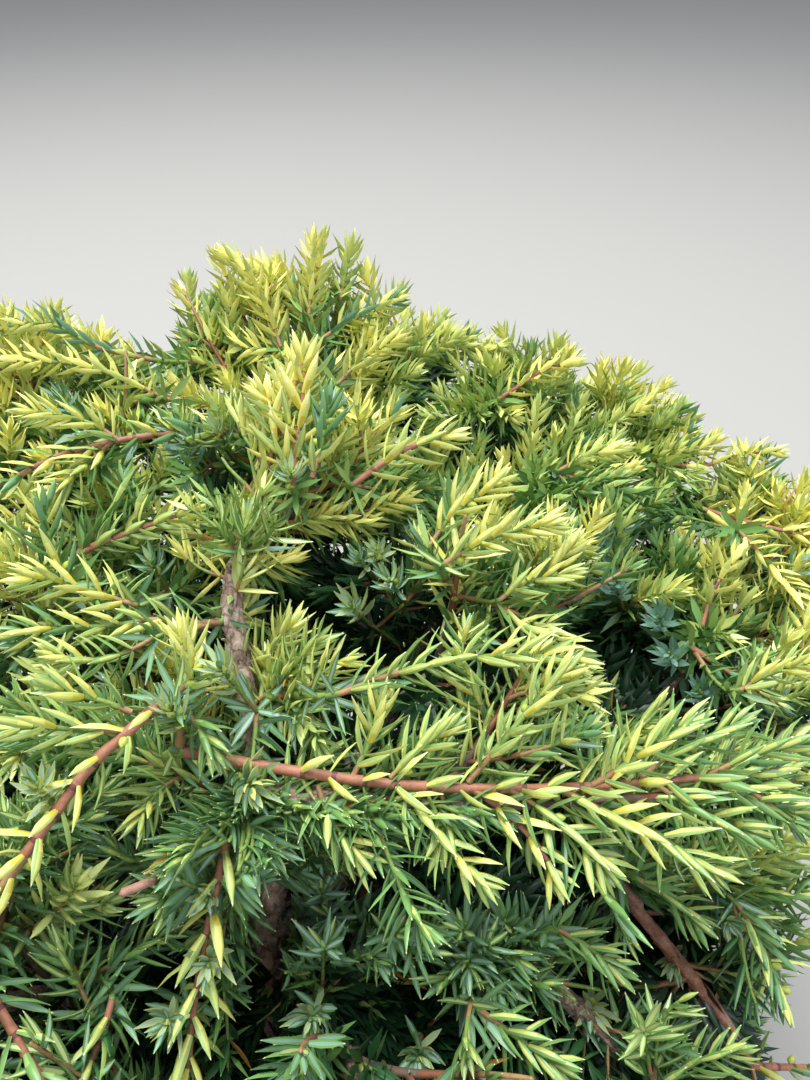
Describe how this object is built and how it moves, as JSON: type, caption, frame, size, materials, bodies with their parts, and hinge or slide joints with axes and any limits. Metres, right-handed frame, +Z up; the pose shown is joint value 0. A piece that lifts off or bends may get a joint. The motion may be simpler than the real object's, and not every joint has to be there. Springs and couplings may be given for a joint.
{
  "type": "potted golden common juniper",
  "caption": "Low, spreading golden juniper with short awl needles on arching boughs, planted in a plain round dark pot.",
  "frame": {"origin": "centre of the pot's flat underside", "axes": "+Z up out of the pot; -Y is the side the picture looks from; the crown reaches furthest towards +Y and to both sides along X"},
  "size_m": [0.3947, 0.3621, 0.317],
  "materials": {
    "pot": "matte moulded plastic",
    "compost": "loose damp compost",
    "bark": "flaky bark, pinkish brown on young wood",
    "foliage": "waxy needles, golden to blue-green"
  },
  "bodies": {
    "root": {"pot": "pot", "compost": "compost", "trunk": "bark", "bough_crest": "bark", "bough_back": "bark", "bough_left_back": "bark", "bough_left": "bark", "bough_left_near": "bark", "bough_near_left": "bark", "bough_near": "bark", "bough_right_near": "bark", "bough_right": "bark", "bough_right_back": "bark", "bough_leader": "bark", "mass_near_leader": "foliage", "mass_mid_tuft": "foliage", "mass_centre": "foliage", "mass_back_tuft": "foliage", "mass_left_back": "foliage", "mass_left": "foliage", "mass_left_near": "foliage", "mass_right_back": "foliage", "mass_far_right": "foliage", "mass_right": "foliage", "mass_right_near": "foliage", "mass_near": "foliage", "mass_near_left": "foliage", "mass_near_right": "foliage", "mass_low_left": "foliage", "mass_low_back": "foliage", "mass_low_right": "foliage", "mass_low_near": "foliage"}
  },
  "joints": []
}
